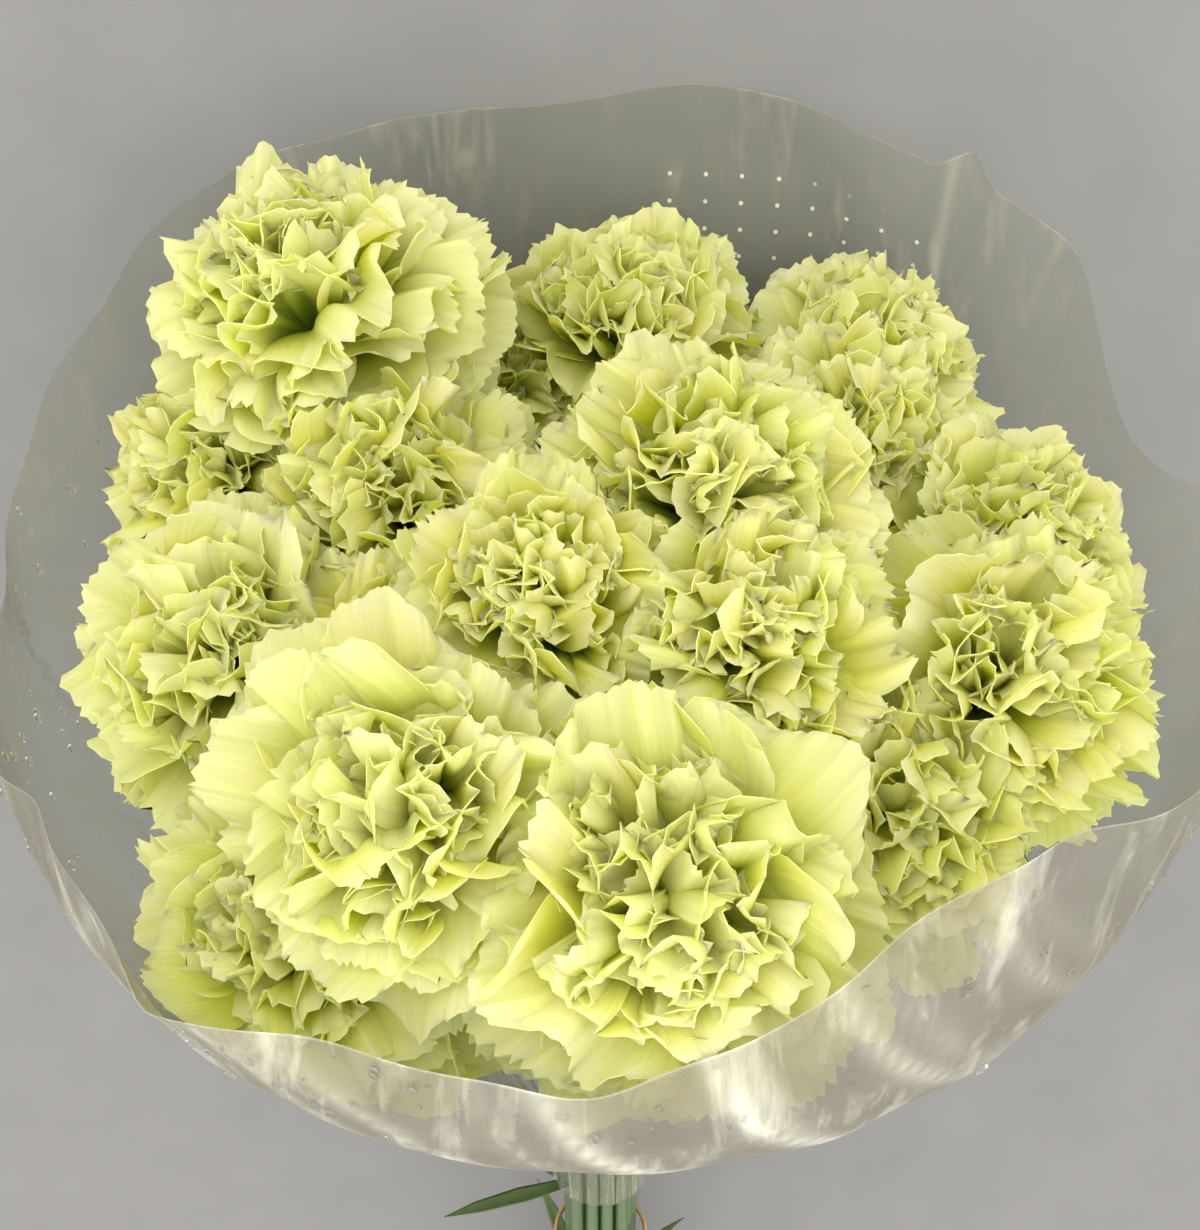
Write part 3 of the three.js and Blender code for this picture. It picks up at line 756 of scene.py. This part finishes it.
def stem_route(flower, place):
    """The middle of a stem from its cut end to the calyx, and its radius there."""
    foot = flower.mouth - CALYX_LENGTH * flower.facing
    neck = stem_below(place, 0)
    rise = np.array([neck[0], neck[1], STEM_RISE * foot[2]])
    bend = (neck, rise, flower.mouth - (CALYX_LENGTH + STEM_TURN) * flower.facing, foot)
    heights = np.linspace(STEMS_END, 0, ROWS_BELOW_NECK + 1)[:-1]
    below = np.array([stem_below(place, z) for z in heights])
    above = bezier(bend, np.linspace(0, 1, ROWS_ABOVE_NECK))
    middles = np.concatenate([below, above])
    travelled = np.concatenate([[0], np.cumsum(np.linalg.norm(np.diff(middles, axis=0), axis=1))])
    bend_length = travelled[-1] - travelled[len(below)]
    joints = [lower_joint(flower) - STEMS_END, travelled[len(below)] + UPPER_JOINT * bend_length]
    radii = np.full(len(middles), STEM_RADIUS * SHAFT)
    for joint in joints:
        radii += (JOINT_RADIUS - STEM_RADIUS) * np.exp(-(((travelled - joint) / (JOINT_LENGTH / 3)) ** 2))
    return middles, radii


def calyx_skin(angle, row):
    """Five teeth at the calyx's mouth, with a shallow groove between them."""
    tooth = 0.5 + 0.5 * np.cos(5 * angle)
    outside = row < CALYX_INSIDE
    high = np.clip((row - 5) / 3, 0, 1) * outside
    return -0.35 * (1 - tooth) * (row > 1) * outside, 3.2 * (tooth - 0.7) * high


LEAF_THICKNESS = 0.7
LEAF_WIDTHS_AT = [0, 0.12, 0.35, 0.72, 1]
LEAF_HALF_WIDTHS = [0.3, 0.36, 0.5, 0.36, 0.02]


def leaf_points(u, v, root, bearing, out, rise, sway_from):
    """A narrow keeled blade that leaves the stem at a joint, arches out and up, and sways to its tip."""
    outward = np.array([math.cos(bearing), math.sin(bearing), 0])
    across = np.array([-math.sin(bearing), math.cos(bearing), 0])
    upward = np.array([0, 0, 1])
    early = 0.12 if rise > out else 0.55
    ends = np.array([(0.7 * STEM_RADIUS, 0), (early * out, (1 - early) * 0.85 * rise), (out, rise)])
    way, slope = arch(ends, v)
    a = 2 * u - 1
    half = LEAF_WIDTH * np.interp(v, LEAF_WIDTHS_AT, LEAF_HALF_WIDTHS)
    keel = 0.35 * half * np.abs(a) * (1 - 0.5 * v)
    sway = 1.2 * np.sin(3 * v + sway_from) * v
    normal = outward * slope[:, 1:] - upward * slope[:, :1]
    points = root + outward * way[:, :1] + upward * way[:, 1:]
    return points + across * (a * half + sway)[:, None] - normal * keel[:, None]


def leaves(bm, flower, place):
    """The points of a stem's leaves: each one has two faces that meet at its sides and its tip."""
    points = []
    for on, at, out, rise, aside in LEAF_PAIRS:
        if on != flower.number:
            continue
        root = stem_below(place, lower_joint(flower) if at is None else at)
        straight_out = math.atan2(place[1], place[0])
        sway_from = np.random.default_rng(on).uniform(0, 6)
        normal = np.array([math.cos(straight_out), math.sin(straight_out), 0])
        for side in (-1, 1):
            for face in (LEAF_THICKNESS / 2, -LEAF_THICKNESS / 2):
                u, v = grid(bm, 6, 22)
                bearing = straight_out + side * math.radians(aside)
                skin = leaf_points(u, v, root, bearing, out, rise, sway_from)
                to_side = (1 - np.abs(2 * u - 1))[:, None]
                to_tip = np.minimum(1, 12 * (1 - v))[:, None]
                points.append(skin + normal * face * to_side * to_tip)
    return points


def make_stem(flower, place, material):
    bm = bmesh.new()
    middles, radii = stem_route(flower, place)
    middles = np.concatenate([middles[:1], middles, middles[-1:]])
    radii = np.concatenate([[0], radii, [0]])
    shaft = tube(bm, middles, radii, SHAFT_SIDES)
    calyx_middles = flower.mouth + np.outer(CALYX_ALONG, flower.facing)
    calyx = tube(bm, calyx_middles, CALYX_RADII, CALYX_SIDES, calyx_skin)
    blades = leaves(bm, flower, place)
    fresh = [np.interp(shaft[:, 2], SHAFT_FRESH_AT, SHAFT_FRESH_AND_UNSHADED), np.full(len(calyx), CALYX_FRESH)]
    fresh += [np.full(len(blade), LEAF_FRESH_AND_UNSHADED) for blade in blades]
    number = f"{flower.number:02d}"
    finish_piece(
        f"stem_and_calyx_{number}", bm, np.concatenate([shaft, calyx, *blades]), material,
        [f"stem_{number}"], attributes={"fresh": np.concatenate(fresh)}, closed=True,
    )


BAND_TURNS = 3
BAND_STEPS = 97
STRAND_RADIUS = 0.66
STRAND_PITCH = 1.35


def make_band(material):
    """A rubber band wound three times round the stems."""
    bm = bmesh.new()
    points = []
    for k in range(BAND_TURNS):
        angle = np.linspace(0, 2 * math.pi, BAND_STEPS)
        radius = BUNDLE_RADIUS + 1.0 + 0.25 * np.sin(3 * angle + k)
        up = BAND_AT + STRAND_PITCH * (k - 1) + 0.35 * np.sin(angle + 2.1 * k)
        ring = np.column_stack([radius * np.cos(angle), radius * np.sin(angle), up])
        u, v = grid(bm, 8, BAND_STEPS - 1)
        row = np.round(v * (BAND_STEPS - 1)).astype(int)
        outward = unit(ring[row] * (1, 1, 0))
        round_it = 2 * math.pi * u
        skin = outward * np.cos(round_it)[:, None] + np.array([0, 0, 1]) * np.sin(round_it)[:, None]
        points.append(ring[row] + STRAND_RADIUS * skin)
    finish_piece("rubber_band", bm, np.concatenate(points), material, ["band"], closed=True)


# ---- the sleeve ----
FILM_AROUND = 344
FILM_UP = 88
SHOWN_WALL = 0.09
SEAMS = (50, -125)
SEAM_WIDTH = 0.7
SEAM_CORNER = 5
RIM_SOFTNESS = 5.5
CORNER_SOFTNESS = 22
UP_TO_WIDEST = 0.8
CREASE_PATCHES = 34
PATCH_SPREAD = (25, 60)
CREASE_PITCH = (24, 52)
CREASE_DEPTH = (0.4, 1.0)
CREASE_FROM = 0.6
HOLES_BEARING = 67
HOLES_SPREAD = 17
OFF_TABLE = 0.3
FILM_SEED = 7


def smooth_rim(column):
    """The rim's radius or height at every degree, rounded between its places but sharp at the seams."""
    degrees = np.arange(-180, 180)
    sharp = np.interp(degrees, SLEEVE_RIM[:, 0], SLEEVE_RIM[:, column])
    away = np.minimum(np.arange(360), 360 - np.arange(360))
    spread = np.exp(-((away / RIM_SOFTNESS) ** 2) / 2)
    soft = np.real(np.fft.ifft(np.fft.fft(sharp) * np.fft.fft(spread / spread.sum())))
    keep = sum(np.exp(-(((degrees - seam) / SEAM_CORNER) ** 2)) for seam in SEAMS)
    return degrees, sharp * keep + soft * (1 - keep)


def film_creases(around, up, rng):
    """Soft creases in patches, as thin film keeps them: how far they push it, and a painted highlight on
    their ridges.
    """
    push, ridge_highlights = np.zeros(len(up)), np.zeros(len(up))
    for _ in range(CREASE_PATCHES):
        centre = rng.uniform(-470, 470), rng.uniform(40, 330)
        angle = rng.normal(math.pi / 2, 0.3)
        spread, pitch = rng.uniform(*PATCH_SPREAD), rng.uniform(*CREASE_PITCH)
        x, y = around - centre[0], up - centre[1]
        patch = np.exp(-(x**2 + (y / 1.6) ** 2) / (2 * spread**2))
        phase = (x * math.sin(angle) - y * math.cos(angle)) / pitch + 0.35 * np.sin(y / 23 + centre[0])
        ridge = 1 - np.abs(2 * (phase % 1) - 1)
        push -= rng.uniform(*CREASE_DEPTH) * patch * np.cos(2 * math.pi * phase) / 2
        # The ridge tops get a painted highlight.
        top = np.maximum(0, (ridge - CREASE_FROM) / (1 - CREASE_FROM))
        ridge_highlights += patch * top**2 * rng.uniform(0.1, 0.6)
    return push, np.clip(ridge_highlights, 0, 1)


def film_radius(z, rim_z, rim_radius):
    """The film's radius at a height: its profile, then straight on to the rim, with all corners rounded."""
    widest_at, widest = SLEEVE_PROFILE[-1]
    weights = np.hanning(13)[1:-1]
    shifts = np.linspace(-CORNER_SOFTNESS, CORNER_SOFTNESS, len(weights))
    radius = 0
    for shift, weight in zip(shifts, weights / weights.sum()):
        at = z + shift
        below = np.interp(at, SLEEVE_PROFILE[:, 0], SLEEVE_PROFILE[:, 1])
        beyond = widest + (at - widest_at) * (rim_radius - widest) / (rim_z - widest_at)
        radius = radius + weight * np.where(at < widest_at, below, beyond)
    return radius


def film_at(bearing, v):
    """The film's points, from the neck (v 0) to the rim (v 1), with how far round and up each one is."""
    degrees, rim_z = smooth_rim(2)
    _, rim_radius = smooth_rim(1)
    rim_z = np.interp(bearing, degrees, rim_z, period=360)
    rim_radius = np.interp(bearing, degrees, rim_radius, period=360)
    lowest, widest_at = SLEEVE_PROFILE[0, 0], SLEEVE_PROFILE[-1, 0]
    below = lowest + (widest_at - lowest) * (v / UP_TO_WIDEST)
    beyond = widest_at + (rim_z - widest_at) * (v - UP_TO_WIDEST) / (1 - UP_TO_WIDEST)
    z = np.where(v < UP_TO_WIDEST, below, beyond)
    at_rim = np.clip((z - widest_at) / (rim_z - widest_at), 0, 1)
    radius = film_radius(z, rim_z, rim_radius)

    angle = np.radians(bearing)
    around = angle * 150
    up = z + np.maximum(0, radius - 18)
    push, ridge_highlights = film_creases(around, up, np.random.default_rng(FILM_SEED))
    gathers = 0.9 * np.sin(angle * 19 + 2 * np.sin(angle * 3)) * np.exp(-((z - 30) / 55) ** 2)
    flutter = (1.6 * np.sin(angle * 11 + 1) + np.sin(angle * 23)) * at_rim**2
    loose = np.clip((radius - 17) / 20, 0.1, 1)
    radius = radius - FILM_WALL / 2 + push * loose + gathers + flutter
    return np.column_stack([radius * np.cos(angle), radius * np.sin(angle), z]), around, up, ridge_highlights


def holed(bearing, v):
    """Where the film has its rows of tiny holes: in one panel at its back."""
    return ((np.abs(bearing - HOLES_BEARING) < HOLES_SPREAD) & (v > 0.62) & (v < 0.95)).astype(float)


def make_sleeve(material):
    """The film round the flowers and stems. Its last column of points lies on its first, to be merged."""
    bm = bmesh.new()
    u, v = grid(bm, FILM_AROUND, FILM_UP)
    bearing = 360 * u - 180
    points, around, up, ridge_highlights = film_at(bearing, v)
    first = {round(float(h), 5): i for i, h in enumerate(v) if u[i] < 1e-6}
    for i in np.flatnonzero(np.isclose(u, 1)):
        points[i] = points[first[round(float(v[i]), 5)]]
    points[:, 1] -= np.maximum(0, OFF_TABLE - height_over_table(points)) / TILT_COS
    degrees, rim_z = smooth_rim(2)
    # A painted highlight along the two seams, added to the crease ridges' one.
    seam_highlight = sum(np.exp(-(((bearing - seam) / SEAM_WIDTH) ** 2)) for seam in SEAMS)
    attributes = {
        "round": around,
        "up": up,
        # Painted highlight on the crease ridges and the seams.
        "crease_highlight": np.clip(ridge_highlights + 0.4 * seam_highlight, 0, 1),
        "holed": holed(bearing, v),
        "below_rim": np.interp(bearing, degrees, rim_z, period=360) - points[:, 2],
        # Painted shade over a band high on the film's front.
        "front_shade_veil": smoothstep(110, 150, points[:, 2]) * np.exp(-(((bearing + 92) / 48) ** 4)),
    }
    finish_piece(
        "film_sleeve", bm, points, material, ["sleeve"],
        attributes=attributes, wall=SHOWN_WALL, closed=True,
    )


# ---- drops of water ----
DROPS_SEED = 21
DROPS = 130
DROPS_IN_FRONT = 0.6
DROP_FLATNESS = 0.55
DROP_SUNK = 0.3


def ball_points(u, w):
    """A ball of radius 1, its poles along the first axis."""
    out, turn = np.sin(math.pi * w), 2 * math.pi * u
    return np.column_stack([np.cos(math.pi * w), out * np.cos(turn), out * np.sin(turn)])


def make_drops(material):
    """Beads of water on the film: a few at its front and on its left, as flat as drops that cling."""
    rng = np.random.default_rng(DROPS_SEED)
    front = rng.uniform(size=DROPS) < DROPS_IN_FRONT
    bearing = np.where(front, rng.uniform(-158, -28, DROPS), rng.uniform(-205, -150, DROPS))
    bearing = (bearing + 180) % 360 - 180
    v = np.where(front, rng.uniform(0.76, 0.985, DROPS), rng.uniform(0.72, 0.97, DROPS))
    middles = film_at(bearing, v)[0]
    bm = bmesh.new()
    points = []
    for middle, turn in zip(middles, np.radians(bearing)):
        ball = ball_points(*grid(bm, 8, 6))
        radius = 0.5 + 1.1 * rng.uniform() ** 3
        ball *= np.array([DROP_FLATNESS, 1, rng.uniform(1, 1.5)]) * radius
        outward = unit(np.array([math.cos(turn), math.sin(turn), -0.35]))
        beside = np.array([-math.sin(turn), math.cos(turn), 0])
        ball = ball @ np.array([outward, beside, np.cross(outward, beside)])
        points.append(middle + ball + DROP_SUNK * radius * outward)
    finish_piece("water_drops", bm, np.concatenate(points), material, closed=True)


# ---- floor, light and camera ----
LENS = 50
VIEW_FROM_AXIS = math.radians(50)
VIEW_DISTANCE = 440
FLOOR_SIZE = 6
WORLD_COLOUR = (1.0, 0.96, 0.92, 1)
WORLD_STRENGTH = 1.85
# Each lamp's name, place, aim, size, power and colour.
LAMPS = [
    ("key", (0.45, -1.3, 1.3), (0, 0, 0.12), 1.4, 13, (1.0, 0.94, 0.84)),
    ("fill", (-1.1, -0.1, 1.4), (0, 0, 0.1), 1.6, 7, (1.0, 0.97, 0.92)),
    ("front", (0.1, 0.5, 1.7), (0, 0, 0.1), 1.6, 6, (1.0, 0.96, 0.9)),
]


def make_floor():
    bm = bmesh.new()
    bmesh.ops.create_grid(bm, x_segments=1, y_segments=1, size=FLOOR_SIZE)
    mesh = bpy.data.meshes.new("floor")
    bm.to_mesh(mesh)
    bm.free()
    mesh.materials.append(floor_material())
    floor = bpy.data.objects.new("floor", mesh)
    bpy.context.scene.collection.objects.link(floor)


def make_light(name, at, towards, size, power, colour):
    light = bpy.data.lights.new(name, "AREA")
    light.shape = "DISK"
    light.size = size
    light.energy = power
    light.color = colour
    lamp = bpy.data.objects.new(name, light)
    bpy.context.scene.collection.objects.link(lamp)
    lamp.location = at
    lamp.rotation_mode = "QUATERNION"
    lamp.rotation_quaternion = (Vector(towards) - Vector(at)).to_track_quat("-Z", "Y")


def make_world():
    world = bpy.data.worlds.new("studio")
    world.use_nodes = True
    background = world.node_tree.nodes["Background"]
    background.inputs["Color"].default_value = WORLD_COLOUR
    background.inputs["Strength"].default_value = WORLD_STRENGTH
    bpy.context.scene.world = world


def make_camera():
    """The camera looks at the flowers as the photograph does: from over their front, with their tops up."""
    back = np.array([0, -math.sin(VIEW_FROM_AXIS), math.cos(VIEW_FROM_AXIS)])
    up = np.array([0, math.cos(VIEW_FROM_AXIS), math.sin(VIEW_FROM_AXIS)])
    aim = np.array([0, 0, FLOWERS_AT], float)
    origin = lay([aim])[0]
    columns = [lay([aim + axis])[0] - origin for axis in (np.array([1, 0, 0]), up, back)]
    camera = bpy.data.objects.new("camera", bpy.data.cameras.new("camera"))
    camera.data.lens = LENS
    camera.data.clip_end = 20
    bpy.context.scene.collection.objects.link(camera)
    turn = Matrix([1000 * c for c in columns]).transposed()
    camera.matrix_world = Matrix.Translation(lay([aim + VIEW_DISTANCE * back])[0]) @ turn.to_4x4()
    bpy.context.scene.camera = camera


def make_studio():
    make_floor()
    for lamp in LAMPS:
        make_light(*lamp)
    make_world()
    bpy.context.scene.view_settings.view_transform = "Standard"
    make_camera()


# ---- the bunch ----
petals, greenery = petal_material(), greenery_material()
for flower, place in zip(FLOWERS, IN_BAND):
    make_bloom(flower, petals)
    make_stem(flower, place, greenery)
make_sleeve(film_material())
make_drops(water_material())
make_band(rubber_material())
make_studio()
